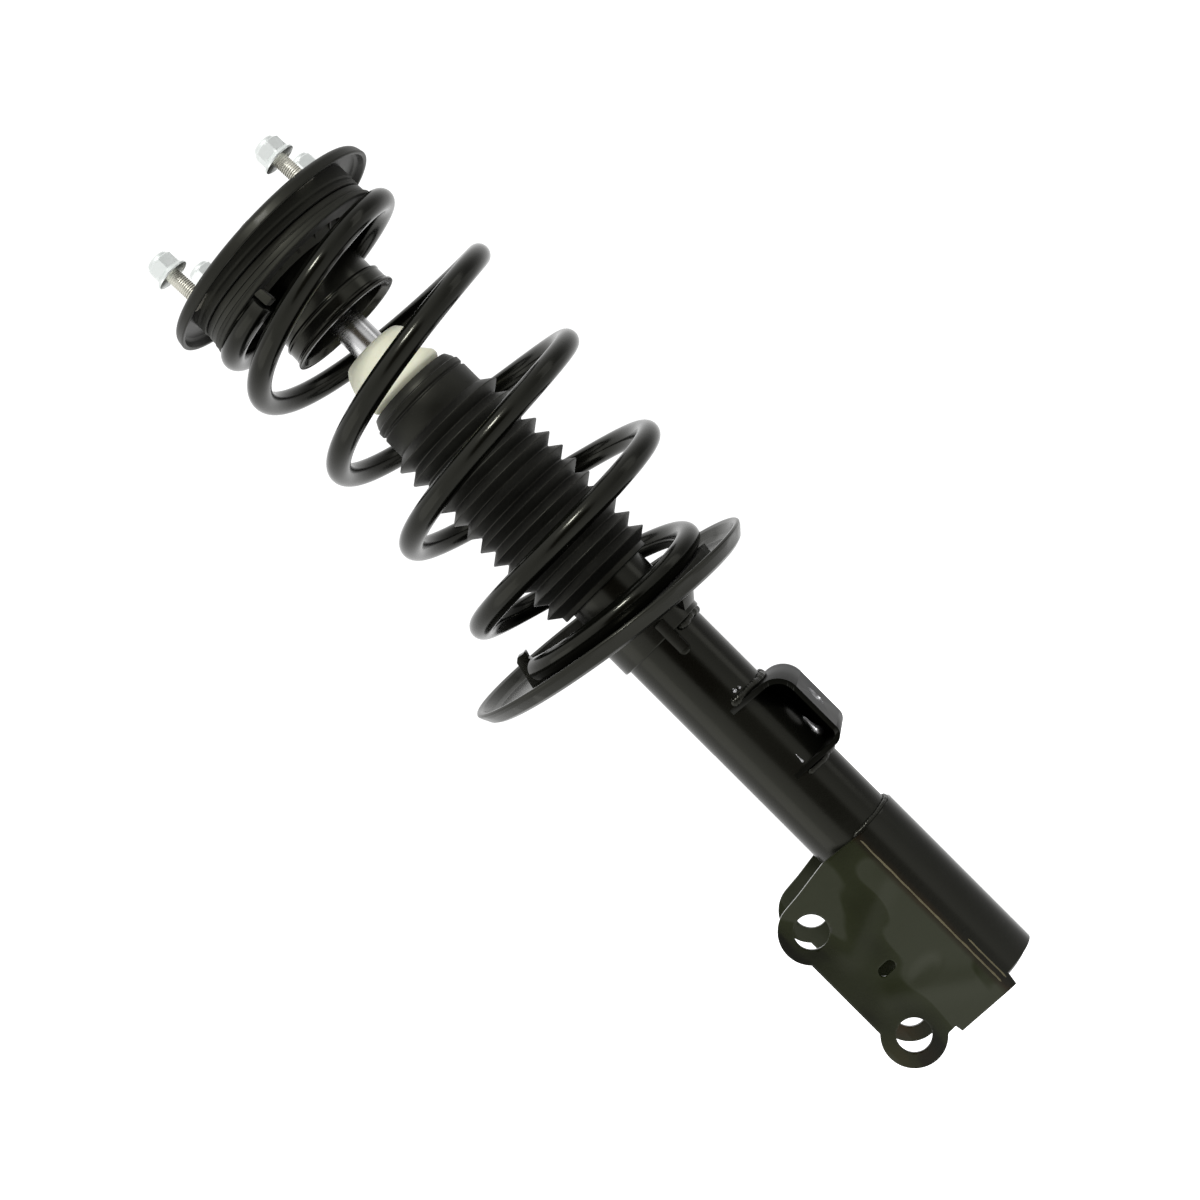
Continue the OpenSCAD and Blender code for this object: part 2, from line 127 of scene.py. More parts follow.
CAM_AZIMUTH = math.radians(7.0)
CAM_DISTANCE = 1.288
CAM_HEIGHT = -0.2736
CAM_SIDE = -0.009
CAM_ROLL = math.radians(45.0)
CAM_FOV = math.radians(29.2)


def add_camera():
    forward = Vector((-math.sin(CAM_AZIMUTH), math.cos(CAM_AZIMUTH), 0))
    right = Vector((math.cos(CAM_AZIMUTH), math.sin(CAM_AZIMUTH), 0))
    up = Vector((0, 0, 1))
    screen_up = up * math.cos(CAM_ROLL) + right * math.sin(CAM_ROLL)
    screen_right = right * math.cos(CAM_ROLL) - up * math.sin(CAM_ROLL)
    place = -forward * CAM_DISTANCE + right * CAM_SIDE + up * CAM_HEIGHT
    data = bpy.data.cameras.new("camera")
    data.angle = CAM_FOV
    data.clip_end = 50
    cam = bpy.data.objects.new("camera", data)
    turn = Matrix((screen_right, screen_up, -forward)).transposed().to_4x4()
    cam.matrix_world = Matrix.Translation(place) @ turn
    bpy.context.scene.collection.objects.link(cam)
    bpy.context.scene.camera = cam


# ---- mesh helpers ----

CIRCLE_SIDES = 72
THREAD_STEPS = 8
LEVEL = Matrix.Identity(4)
MOUNT = Matrix.Rotation(math.radians(-MOUNT_LEAN), 4, "Y")
SEAT = (Matrix.Translation((SEAT_X * MM, 0, SEAT_Z * MM))
        @ Matrix.Rotation(math.radians(SEAT_LEAN), 4, "Y")
        @ Matrix.Rotation(math.radians(SEAT_PITCH), 4, "X"))


def make(name, verts, faces, material, place=LEVEL, sharp=32.0):
    """A mesh object from points in millimetres, smooth except at edges sharper than sharp degrees."""
    mesh = bpy.data.meshes.new(name)
    mesh.from_pydata([tuple(c * MM for c in v) for v in verts], [], faces)
    mesh.transform(place)
    tidy(mesh, sharp)
    mesh.materials.append(material)
    obj = bpy.data.objects.new(name, mesh)
    bpy.context.scene.collection.objects.link(obj)
    return obj


def tidy(mesh, sharp):
    """Merges doubled points, turns normals outward and marks the sharp edges."""
    bm = bmesh.new()
    bm.from_mesh(mesh)
    bmesh.ops.remove_doubles(bm, verts=bm.verts, dist=1e-6)
    bmesh.ops.recalc_face_normals(bm, faces=bm.faces)
    bm.to_mesh(mesh)
    bm.free()
    mesh.shade_smooth()
    mesh.set_sharp_from_angle(angle=math.radians(sharp))


def rounded(points, step=12.0):
    """A closed outline from corners (x, y) or (x, y, radius), with the radii as arcs."""
    out = []
    n = len(points)
    for i, corner in enumerate(points):
        here = Vector(corner[:2])
        radius = corner[2] if len(corner) > 2 else 0
        to_a = Vector(points[i - 1][:2]) - here
        to_b = Vector(points[(i + 1) % n][:2]) - here
        angle = to_a.angle(to_b, 0)
        if radius <= 0 or angle < 0.02 or angle > math.pi - 0.02:
            out.append(tuple(here))
            continue
        reach = min(radius / math.tan(angle / 2), 0.49 * to_a.length, 0.49 * to_b.length)
        radius = reach * math.tan(angle / 2)
        bisector = (to_a.normalized() + to_b.normalized()).normalized()
        centre = here + bisector * (radius / math.sin(angle / 2))
        a = here + to_a.normalized() * reach - centre
        b = here + to_b.normalized() * reach - centre
        sweep = a.angle_signed(b, 0)
        count = max(2, math.ceil(abs(math.degrees(sweep)) / step))
        for k in range(count + 1):
            turn = -sweep * k / count
            c, s = math.cos(turn), math.sin(turn)
            out.append((centre.x + a.x * c - a.y * s, centre.y + a.x * s + a.y * c))
    return out


def ring_faces(rows, columns, close_rows=False, close_columns=True):
    """Quads over rows of points, each row closed into a ring unless close_columns is off."""
    faces = []
    for i in range(rows if close_rows else rows - 1):
        for k in range(columns if close_columns else columns - 1):
            j, m = (i + 1) % rows, (k + 1) % columns
            faces.append((i * columns + k, i * columns + m, j * columns + m, j * columns + k))
    return faces


def capped_faces(rows, columns):
    """Faces of a closed tube of rings, with a cap on its first and last ring."""
    faces = ring_faces(rows, columns)
    faces.append(list(reversed(range(columns))))
    faces.append([(rows - 1) * columns + k for k in range(columns)])
    return faces


def lathe(name, outline, material, place=LEVEL, segments=144, arc=None, sharp=32.0, bump=None):
    """Turns a closed outline of (radius, height) round Z. arc is (start, end) in degrees.
    bump(radius, angle, height) gives a small lift along Z."""
    start, end = arc or (0.0, 360.0)
    full = arc is None
    columns = segments if full else segments + 1
    verts = []
    for r, z in outline:
        for k in range(columns):
            a = math.radians(start + (end - start) * k / segments)
            lift = bump(r, a, z) if bump else 0
            verts.append((r * math.cos(a), r * math.sin(a), z + lift))
    faces = ring_faces(len(outline), columns, close_rows=True, close_columns=full)
    if not full:
        faces.append([i * columns for i in range(len(outline))])
        faces.append([i * columns + segments for i in reversed(range(len(outline)))])
    return make(name, verts, faces, material, place, sharp)


def polar(name, levels, radius_at, material, place=LEVEL, columns=96, sharp=32.0):
    """A solid of revolution whose radius varies with angle: levels are (height, value)."""
    verts = []
    for z, value in levels:
        for k in range(columns):
            a = 2 * math.pi * k / columns
            r = radius_at(a, z, value)
            verts.append((r * math.cos(a), r * math.sin(a), z))
    return make(name, verts, capped_faces(len(levels), columns), material, place, sharp)


def prism(outline, holes, low, high, axis):
    """Points and faces of an outline with holes, extruded from low to high along axis 'Y' or 'X'."""
    loops = [outline] + holes
    flat = [p for loop in loops for p in loop]
    triangles = tessellate_polygon([[Vector((x, z, 0)) for x, z in loop] for loop in loops])
    count = len(flat)

    def lift(p, depth):
        return (p[0], depth, p[1]) if axis == "Y" else (depth, p[0], p[1])

    verts = [lift(p, low) for p in flat] + [lift(p, high) for p in flat]
    faces = [tuple(t) for t in triangles] + [tuple(i + count for i in reversed(t)) for t in triangles]
    start = 0
    for loop in loops:
        n = len(loop)
        for i in range(n):
            a, b = start + i, start + (i + 1) % n
            faces.append((a, b, b + count, a + count))
        start += n
    return verts, faces


def circle(x, y, r):
    angles = [2 * math.pi * k / CIRCLE_SIDES for k in range(CIRCLE_SIDES)]
    return [(x + r * math.cos(a), y + r * math.sin(a)) for a in angles]


def arc_points(x, y, r, start, end, step=5.0):
    count = max(2, math.ceil(abs(end - start) / step))
    angles = [math.radians(start + (end - start) * k / count) for k in range(count + 1)]
    return [(x + r * math.cos(a), y + r * math.sin(a)) for a in angles]


def cut(obj, tool, operation):
    """Applies a boolean of tool to obj, and removes tool."""
    modifier = obj.modifiers.new("cut", "BOOLEAN")
    modifier.operation = operation
    modifier.solver = "EXACT"
    modifier.object = tool
    bake_modifiers(obj)
    bpy.data.objects.remove(tool)


def bake_modifiers(obj):
    """Keeps the result of obj's modifiers as its mesh."""
    graph = bpy.context.evaluated_depsgraph_get()
    graph.update()
    mesh = bpy.data.meshes.new_from_object(obj.evaluated_get(graph))
    obj.modifiers.clear()
    obj.data = mesh


def bevel(obj, width, segments=2, angle=40.0, sharp=32.0):
    """Rounds the edges sharper than angle degrees, by a width in millimetres."""
    modifier = obj.modifiers.new("bevel", "BEVEL")
    modifier.width = width * MM
    modifier.segments = segments
    modifier.limit_method = "ANGLE"
    modifier.angle_limit = math.radians(angle)
    modifier.use_clamp_overlap = True
    bake_modifiers(obj)
    obj.data.shade_smooth()
    obj.data.set_sharp_from_angle(angle=math.radians(sharp))


def flatten(obj, outward):
    """Flat shading for the walls that face outward, which rounded edges would otherwise bend in the light."""
    for face in obj.data.polygons:
        if abs(face.normal.dot(outward)) > 0.9999:
            face.use_smooth = False


def join(name, objects):
    """Several meshes as one object called name."""
    bm = bmesh.new()
    slots = []
    for o in objects:
        for m in o.data.materials:
            if m not in slots:
                slots.append(m)
        before = len(bm.faces)
        bm.from_mesh(o.data)
        bm.faces.ensure_lookup_table()
        index = slots.index(o.data.materials[0])
        for face in bm.faces[before:]:
            face.material_index = index
    mesh = bpy.data.meshes.new(name)
    bm.to_mesh(mesh)
    bm.free()
    for m in slots:
        mesh.materials.append(m)
    for o in objects:
        bpy.data.objects.remove(o)
    obj = bpy.data.objects.new(name, mesh)
    bpy.context.scene.collection.objects.link(obj)
    return obj


def hexagon(angle, across_flats):
    """Distance from the centre of a hexagon to its side, at an angle."""
    sixth = math.pi / 3
    return across_flats / 2 / math.cos((angle + sixth / 2) % sixth - sixth / 2)


# ---- materials ----

OLIVE = (1.0, 1.0, 0.82, 1.0)
DUST = (0.05, 0.05, 0.042)
WORN = (0.05, 0.05, 0.046)
RUST = (0.055, 0.028, 0.011)


def new_material(name):
    material = bpy.data.materials.new(name)
    material.use_nodes = True
    nodes, links = material.node_tree.nodes, material.node_tree.links
    return material, nodes, links, nodes["Principled BSDF"]


def object_noise(nodes, links, scale, detail=4.0, rough=0.55, stretch=None):
    coords = nodes.new("ShaderNodeTexCoord")
    texture = nodes.new("ShaderNodeTexNoise")
    texture.inputs["Scale"].default_value = scale
    texture.inputs["Detail"].default_value = detail
    texture.inputs["Roughness"].default_value = rough
    source = coords.outputs["Object"]
    if stretch:
        mapping = nodes.new("ShaderNodeMapping")
        mapping.inputs["Scale"].default_value = stretch
        links.new(source, mapping.inputs["Vector"])
        source = mapping.outputs["Vector"]
    links.new(source, texture.inputs["Vector"])
    return texture.outputs["Fac"]


def ramp(nodes, links, source, stops):
    node = nodes.new("ShaderNodeValToRGB")
    elements = node.color_ramp.elements
    while len(elements) < len(stops):
        elements.new(0.5)
    for element, (place, colour) in zip(elements, stops):
        element.position = place
        element.color = (*colour, 1) if len(colour) == 3 else colour
    links.new(source, node.inputs["Fac"])
    return node.outputs["Color"]


def grey(value):
    return (value, value, value)


def mix(nodes, links, factor, a, b, kind="MIX"):
    node = nodes.new("ShaderNodeMix")
    node.data_type = "RGBA"
    node.blend_type = kind
    for socket, value in ((node.inputs["Factor"], factor), (node.inputs["A"], a), (node.inputs["B"], b)):
        if hasattr(value, "is_linked"):
            links.new(value, socket)
        elif isinstance(value, tuple):
            socket.default_value = (*value, 1)
        else:
            socket.default_value = value
    return node.outputs["Result"]


def add_bump(nodes, links, shader, layers):
    """layers are (height output, distance in millimetres, strength), coarse first."""
    normal = None
    for height, distance, strength in layers:
        node = nodes.new("ShaderNodeBump")
        node.inputs["Distance"].default_value = distance * MM
        node.inputs["Strength"].default_value = strength
        links.new(height, node.inputs["Height"])
        if normal:
            links.new(normal, node.inputs["Normal"])
        normal = node.outputs["Normal"]
    links.new(normal, shader.inputs["Normal"])


def paint(name, base, rough=(0.2, 0.32), coat=0.1, peel=0.5, tint=None, shine=0.35):
    """Black powder coat: orange peel, cloudy gloss, dust, and thin worn edges."""
    material, nodes, links, shader = new_material(name)
    cloud = object_noise(nodes, links, 14, 3)
    grain = object_noise(nodes, links, 420, 2)
    dust = object_noise(nodes, links, 900, 2, 0.7)
    colour = ramp(nodes, links, cloud, [(0.3, base), (0.75, tuple(c * 1.5 for c in base))])
    if tint:
        colour = tint(nodes, links, colour)
    specks = ramp(nodes, links, dust, [(0.7, grey(0)), (0.8, grey(0.25))])
    colour = mix(nodes, links, specks, colour, DUST)
    edges = nodes.new("ShaderNodeNewGeometry").outputs["Pointiness"]
    worn = ramp(nodes, links, edges, [(0.53, grey(0)), (0.6, grey(0.5))])
    colour = mix(nodes, links, worn, colour, WORN)
    links.new(colour, shader.inputs["Base Color"])
    links.new(ramp(nodes, links, cloud, [(0.3, grey(rough[0])), (0.7, grey(rough[1]))]),
              shader.inputs["Roughness"])
    shader.inputs["Specular IOR Level"].default_value = shine
    shader.inputs["Specular Tint"].default_value = OLIVE
    shader.inputs["Coat Weight"].default_value = coat
    shader.inputs["Coat Roughness"].default_value = 0.12
    add_bump(nodes, links, shader, [(object_noise(nodes, links, 90, 2), 0.25, 0.25), (grain, 0.06, peel)])
    return material


def bracket_reflection_and_rust(nodes, links, colour):
    """Painted olive reflections on the flat of the ears, with rusty runs by the seam and round the lower eye.
    """
    coords = nodes.new("ShaderNodeTexCoord")
    split = nodes.new("ShaderNodeSeparateXYZ")
    links.new(coords.outputs["Object"], split.inputs["Vector"])
    patch = object_noise(nodes, links, 38, 5, 0.65, (1, 1, 0.45))

    def near(socket, centre, width):
        shift = nodes.new("ShaderNodeMath")
        shift.operation = "SUBTRACT"
        links.new(socket, shift.inputs[0])
        shift.inputs[1].default_value = centre * MM
        size = nodes.new("ShaderNodeMath")
        size.operation = "ABSOLUTE"
        links.new(shift.outputs[0], size.inputs[0])
        fade = nodes.new("ShaderNodeMapRange")
        fade.inputs["From Min"].default_value = 0
        fade.inputs["From Max"].default_value = width * MM
        fade.inputs["To Min"].default_value = 1
        fade.inputs["To Max"].default_value = 0
        links.new(size.outputs[0], fade.inputs["Value"])
        return fade.outputs["Result"]

    # Painted reflection: lighter olive patches laid on the flats of the ears.
    painted_reflection = ramp(nodes, links, object_noise(nodes, links, 17, 1.5, 0.4, (1.5, 1, 0.8)),
                 [(0.42, (0.0022, 0.0026, 0.0012)), (0.445, (0.0115, 0.0140, 0.0052)),
                  (0.54, (0.0190, 0.0230, 0.0090)), (0.555, (0.0370, 0.0410, 0.0260))])
    flat = ramp(nodes, links, near(split.outputs["X"], -60.0, 62.0), [(0.0, grey(0)), (0.06, grey(1))])
    colour = mix(nodes, links, flat, colour, painted_reflection)
    seam = mix(nodes, links, near(split.outputs["X"], 2.0, 4.0), (0, 0, 0), (0.5, 0.5, 0.5))
    eye = mix(nodes, links, near(split.outputs["X"], -62.0, 14.0), (0, 0, 0), (1, 1, 1))
    low = mix(nodes, links, near(split.outputs["Z"], -570.0, 16.0), (0, 0, 0), (1, 1, 1))
    eye = mix(nodes, links, 1.0, eye, low, "MULTIPLY")
    both = mix(nodes, links, 1.0, seam, eye, "LIGHTEN")
    blotch = ramp(nodes, links, patch, [(0.35, grey(0.1)), (0.7, grey(1.0))])
    amount = mix(nodes, links, 1.0, both, blotch, "MULTIPLY")
    return mix(nodes, links, amount, colour, RUST)


def rubber(name, base, rough=0.62, grain=0.35, bloom=(0.06, 0.06, 0.058)):
    """Matt black rubber with a fine skin and a little grey bloom."""
    material, nodes, links, shader = new_material(name)
    cloud = object_noise(nodes, links, 30, 4, 0.6)
    skin = object_noise(nodes, links, 700, 3, 0.6)
    colour = ramp(nodes, links, cloud, [(0.35, base), (0.8, tuple(c * 1.6 for c in base))])
    dust = ramp(nodes, links, skin, [(0.62, grey(0)), (0.8, grey(0.3))])
    links.new(mix(nodes, links, dust, colour, bloom), shader.inputs["Base Color"])
    links.new(ramp(nodes, links, cloud, [(0.3, grey(rough - 0.1)), (0.7, grey(rough + 0.1))]),
              shader.inputs["Roughness"])
    shader.inputs["Specular IOR Level"].default_value = 0.4
    shader.inputs["Specular Tint"].default_value = OLIVE
    shader.inputs["Sheen Weight"].default_value = 0.05
    add_bump(nodes, links, shader, [(skin, 0.05, grain)])
    return material


def plastic(name, base, rough):
    material, nodes, links, shader = new_material(name)
    cloud = object_noise(nodes, links, 40, 3)
    links.new(ramp(nodes, links, cloud, [(0.3, base), (0.8, tuple(c * 1.35 for c in base))]),
              shader.inputs["Base Color"])
    links.new(ramp(nodes, links, cloud, [(0.3, grey(rough)), (0.7, grey(rough + 0.12))]),
              shader.inputs["Roughness"])
    shader.inputs["Specular Tint"].default_value = OLIVE
    add_bump(nodes, links, shader, [(object_noise(nodes, links, 800, 2), 0.03, 0.25)])
    return material


def metal(name, base, rough, strength=0.15, tarnish=None):
    """Bare or plated metal, with fine lines round the axis and a little tarnish."""
    material, nodes, links, shader = new_material(name)
    lines = object_noise(nodes, links, 160, 3, 0.6, (1, 1, 12))
    cloud = object_noise(nodes, links, 60, 4, 0.6)
    dull = tarnish or tuple(c * 0.75 for c in base)
    links.new(ramp(nodes, links, cloud, [(0.35, base), (0.8, dull)]), shader.inputs["Base Color"])
    links.new(ramp(nodes, links, lines, [(0.3, grey(rough)), (0.75, grey(rough + 0.14))]),
              shader.inputs["Roughness"])
    shader.inputs["Metallic"].default_value = 1.0
    add_bump(nodes, links, shader, [(lines, 0.02, strength)])
    return material


def foam_material():
    """Cream microcellular foam: fine pores, a waxy skin and faint moulding marks."""
    material, nodes, links, shader = new_material("foam")
    cloud = object_noise(nodes, links, 45, 4, 0.6)
    pores = object_noise(nodes, links, 1100, 3, 0.7)
    colour = ramp(nodes, links, cloud, [(0.3, (0.93, 0.94, 0.76)), (0.8, (0.88, 0.87, 0.66))])
    dark = ramp(nodes, links, pores, [(0.3, grey(0.35)), (0.42, grey(0))])
    links.new(mix(nodes, links, dark, colour, (0.7, 0.68, 0.48)), shader.inputs["Base Color"])
    shader.inputs["Roughness"].default_value = 0.55
    shader.inputs["Subsurface Weight"].default_value = 0.12
    shader.inputs["Subsurface Radius"].default_value = (0.004, 0.003, 0.0015)
    shader.inputs["Subsurface Scale"].default_value = 0.5
    add_bump(nodes, links, shader, [(cloud, 0.3, 0.2), (pores, 0.08, 0.35)])
    return material


MOUNT_PAINT = paint("mount_paint", (0.0060, 0.0060, 0.0050), (0.34, 0.46), 0.03, 0.6, shine=0.24)
TUBE_PAINT = paint("tube_paint", (0.0032, 0.0033, 0.0024), (0.2, 0.3))
SPRING_PAINT = paint("spring_paint", (0.0020, 0.0021, 0.0015), (0.14, 0.24), 0.1, 0.35, shine=0.28)
LINK_PAINT = paint("link_paint", (0.0030, 0.0031, 0.0024), (0.3, 0.42), 0.0, shine=0.04)
BRACKET_PAINT = paint("bracket_paint", (0.0035, 0.0036, 0.0026), (0.14, 0.24), 0.2, 0.45, tint=bracket_reflection_and_rust)
# Light rusty beige for the seam beads: rust, and a painted highlight along the seam's edge.
SEAM_RUST_AND_HIGHLIGHT = rubber("seam_rust_and_highlight", (0.10, 0.088, 0.050), 0.5, 0.6, (0.26, 0.23, 0.14))
RUBBER = rubber("rubber", (0.0085, 0.0087, 0.0070))
BOOT_RUBBER = rubber("boot_rubber", (0.0042, 0.0042, 0.0037), 0.48)
SEAT_PLASTIC = plastic("seat_plastic", (0.0045, 0.0046, 0.0038), 0.42)
CUP_PLASTIC = plastic("cup_plastic", (0.004, 0.004, 0.0034), 0.14)
CAGE_PLASTIC = plastic("cage_plastic", (0.6, 0.57, 0.48), 0.45)
STEEL = metal("steel", (0.56, 0.56, 0.57), 0.28)
STUD_STEEL = metal("stud_steel", (0.84, 0.83, 0.75), 0.42, tarnish=(0.72, 0.70, 0.61))
ZINC = metal("zinc", (0.93, 0.96, 0.94), 0.28, strength=0.08, tarnish=(0.84, 0.89, 0.86))
CHROME = metal("chrome", (0.84, 0.84, 0.84), 0.15, strength=0.03, tarnish=(0.74, 0.74, 0.75))
ALLOY = metal("alloy", (0.5, 0.5, 0.51), 0.4)
BRONZE = metal("bronze", (0.45, 0.31, 0.15), 0.35)
FOAM = foam_material()


# ---- top mount ----


def mount_plate():
    outline = rounded([
        (30, 3, 0.6), (30, 6, 1.2), (38, 6, 3), (45, 0, 4), (PLATE_R - 1.5, 0, 5.5),
        (PLATE_R, -LIP_H, 0.9), (PLATE_R - 2.6, -LIP_H, 0.9), (PLATE_R - 4.4, -PLATE_T, 2.6),
        (42.5, -PLATE_T, 4), (35.5, 3, 3)], 8)
    piece = lathe("mount_plate_shell", outline, MOUNT_PAINT, MOUNT, 192)
    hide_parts("mount_plate")
    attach(piece, "top_mount")


def mount_rubber():
    cushion = rounded([
        (13.7, -12, 1), (26, -12, 2), (29.8, -8, 2), (29.8, 8, 1.5), (26, 10, 3), (19, 5.2, 4),
        (13.7, 3.5, 1)])
    skirt = rounded([(57.6, -14.1, 0.5), (59.6, -14.1, 0.8), (59.6, -11, 0.4), (59.2, -9.6, 0.5),
                     (59.6, -8.2, 0.4), (59.6, -3), (57.6, -3)])
    inner = rounded([(41, -6.2), (56, -6.2), (56, -3), (44, -3)])

    def to_plate(r, a, z):
        return r * math.cos(a) * math.tan(math.radians(MOUNT_LEAN)) - 0.06 if z > -3.5 else 0

    parts = [lathe("cushion", cushion, RUBBER, MOUNT, 96),
             lathe("skirt", skirt, RUBBER, LEVEL, 160, bump=to_plate),
             lathe("ring", inner, RUBBER, LEVEL, 96, bump=to_plate)]
    piece = join("mount_rubber_set", parts)
    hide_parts("mount_rubber")
    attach(piece, "top_mount")


def thread_radius(outer, pitch, depth):
    """Radius of a V thread at an angle and height."""
    def at(angle, z, chamfer):
        phase = (z / pitch - angle / (2 * math.pi)) % 1.0
        return min(outer, chamfer) - depth * abs(2 * phase - 1) ** 1.2
    return at


def threaded_levels(low, high, outer, pitch):
    """Heights for polar, THREAD_STEPS to a turn, with the radius that the chamfer at the top allows."""
    count = int((high - low) / pitch * THREAD_STEPS)
    levels = []
    for i in range(count + 1):
        z = low + (high - low) * i / count
        levels.append((z, outer if z < high - 1.4 else outer - (z - high + 1.4) * 0.9))
    return levels


def stud_places():
    for i in range(4):
        turn = Matrix.Rotation(math.radians(45 + 90 * i), 4, "Z")
        yield MOUNT @ turn @ Matrix.Translation((STUD_PCD / 2 * MM, 0, 0))


def mount_studs():
    parts = []
    for place in stud_places():
        levels = threaded_levels(2.0, STUD_H, STUD_R, STUD_PITCH)
        radius = thread_radius(STUD_R, STUD_PITCH, 0.4)
        parts.append(polar("thread", levels, radius, STUD_STEEL, place, 40, 60))
        shank = rounded([(0, -5), (7.2, -5, 0.4), (7.2, -3, 0.3), (4.5, -3), (4.5, 2.1), (0, 2.1)])
        parts.append(lathe("shank", shank, STUD_STEEL, place, 40))
    piece = join("mount_stud_set", parts)
    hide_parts("mount_studs")
    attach(piece, "top_mount")


def stud_nuts():
    """Flanged hexagon nuts with a domed, crimped crown, not all run down equally far."""
    hex_low, hex_top = 3.0, 10.6
    levels = [(0.0, 9.6), (0.25, 10.1), (1.1, 10.25), (1.6, 9.95), (2.3, 9.2), (hex_low, 8.7)]
    levels += [(3.6, 9.2), (5.5, 9.2), (8.0, 9.2), (9.6, 9.2), (10.1, 8.6), (hex_top, 7.9)]
    levels += [(10.9, 7.3), (11.3, 6.9), (12.4, 6.6), (13.1, 6.1), (13.5, 5.3), (13.7, 4.4)]

    def radius(angle, z, value):
        if hex_low < z <= hex_top:
            return min(hexagon(angle, NUT_ACROSS), value)
        if z <= hex_low and value < 9.5:
            return max(value, min(hexagon(angle, NUT_ACROSS), 9.2))
        return value

    parts = []
    for i, place in enumerate(stud_places()):
        turn = Matrix.Rotation(math.radians(15 + 37 * i), 4, "Z")
        side = math.cos(math.radians(45 + 90 * i))
        spot = place @ turn @ Matrix.Translation((0, 0, (NUT_Z - NUT_STAGGER * side) * MM))
        parts.append(polar("nut", levels, radius, ZINC, spot, 120, 28))
    piece = join("stud_nut_set", parts)
    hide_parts("stud_nuts")
    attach(piece, "top_mount")


def rod_top():
    """Washer, nut and sleeve in the middle of the mount."""
    washer = lathe("rod_washer_disc", rounded([(7.3, 1, 0.2), (20, 1, 0.5), (20, 4, 0.6), (7.3, 4, 0.2)]),
                   STEEL, LEVEL, 96)
    levels = [(4.0, 13.6), (4.3, 14.0), (5.4, 14.0), (6.2, 13.0), (6.6, 13.9), (12.0, 13.9),
              (12.8, 12.4), (13.5, 11.3)]

    def radius(angle, z, value):
        return min(hexagon(angle, 21.0), value) if z > 6.3 else value

    nut = polar("rod_nut_hex", levels, radius, STEEL, LEVEL, 96, 28)
    for piece, node in ((washer, "rod_washer"), (nut, "rod_nut")):
        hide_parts(node)
        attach(piece, "top_mount")


def piston_rod():
    body = rounded([(0, ROD_LOW), (ROD_R, ROD_LOW), (ROD_R, -20, 1.0), (ROD_NECK_R, -20),
                    (ROD_NECK_R, 3), (0, 3)])
    shaft = lathe("shaft", body, CHROME, LEVEL, 128)
    levels = threaded_levels(3, 15, ROD_NECK_R, ROD_PITCH)
    tip = polar("tip", levels, thread_radius(ROD_NECK_R, ROD_PITCH, 0.8), CHROME, LEVEL, 64, 60)
    piece = join("piston_rod_shaft", [shaft, tip])
    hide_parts("piston_rod")
    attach(piece, "top_mount")


# ---- turning upper seat ----


def upper_seat():
    outline = rounded([
        (30, -12.9), (56.2, -12.9, 0.3), (56.8, -14.8, 0.3), (59.4, -15.0, 0.7), (59.6, -18.2, 0.3),
        (59.2, -18.8, 0.2), (59.7, -19.4, 0.3), (59.8, -22.4, 0.3), (56.5, -22.4), (56, -15.5),
        (42, -15.5, 0.5), (38, -19, 2), (33.2, -26), (30, -26)])
    parts = [lathe("dish", outline, SEAT_PLASTIC, LEVEL, 160)]
    for i in range(16):
        rib = rounded([(34, -24.5), (44.5, -16.6), (44.5, -15.6), (34, -15.6)])
        parts.append(lathe("rib", rib, SEAT_PLASTIC, LEVEL, 2, (i * 22.5 - 1.2, i * 22.5 + 1.2)))
    piece = join("upper_seat_dish", parts)
    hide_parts("upper_spring_seat")
    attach(piece, "upper_seat")


def upper_insulator():
    """Rubber ring whose underside leans with the top coil, and a block beside the wire's cut end."""
    under = COIL_TOP_Z + WIRE_R + 0.3
    slope = math.tan(math.radians(MOUNT_LEAN))
    outline = rounded([
        (42.5, under, 0.8), (42.5, -15.8, 0.5), (55.8, -15.8, 0.3), (56.3, -22.6, 0.3), (60.4, -22.6, 0.6),
        (61.0, -23.4, 0.3), (61.3, under - 1.2, 1.0), (58.8, under - 1.8, 0.8), (58.2, under, 0.5)])

    def to_coil(r, a, z):
        return r * math.cos(a) * slope if z < -22.7 else 0

    ring = lathe("ring", outline, RUBBER, LEVEL, 200, bump=to_coil)
    side = rounded([(-17.0, -27.6, 0.8), (-12.2, -28.2, 1.2), (-11.4, -36.2, 1), (-16.6, -36.6, 1)])
    block = make("block", *prism(side, [], -61.2, -52.0, "Y"), RUBBER)
    bevel(block, 0.5)
    piece = join("upper_insulator_ring", [ring, block])
    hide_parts("upper_insulator")
    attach(piece, "upper_seat")


def jounce_cup():
    outline = rounded([
        (11.5, -26.2), (32.4, -26.2, 0.4), (32.5, -51.9, 0.5), (33.6, -52.3, 0.3), (34.6, -53.1, 0.5),
        (34.6, -54.2, 0.4), (34.2, -54.9, 0.3), (34.3, -60.2, 0.3), (34.6, -61.0, 0.4), (34.5, -61.9, 0.4),
        (35.8, -63.0, 0.7), (36.1, -64.6, 0.6), (32.8, -64.6, 0.6), (30.4, -61.5, 2), (30, -52, 2),
        (11.5, -52, 1)])
    piece = lathe("jounce_cup_shell", outline, CUP_PLASTIC, LEVEL, 144)
    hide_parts("jounce_cup")
    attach(piece, "upper_seat")


# ---- coil spring ----


def soft(t):
    """A smooth step from 0 to 1."""
    s = min(1.0, max(0.0, t))
    return s * s * (3 - 2 * s)


def corner(t, w):
    """0 below t = 0 and t above it, with the corner rounded over w each way."""
    if t <= -w:
        return 0.0
    return t if t >= w else (t + w) ** 2 / (4 * w)


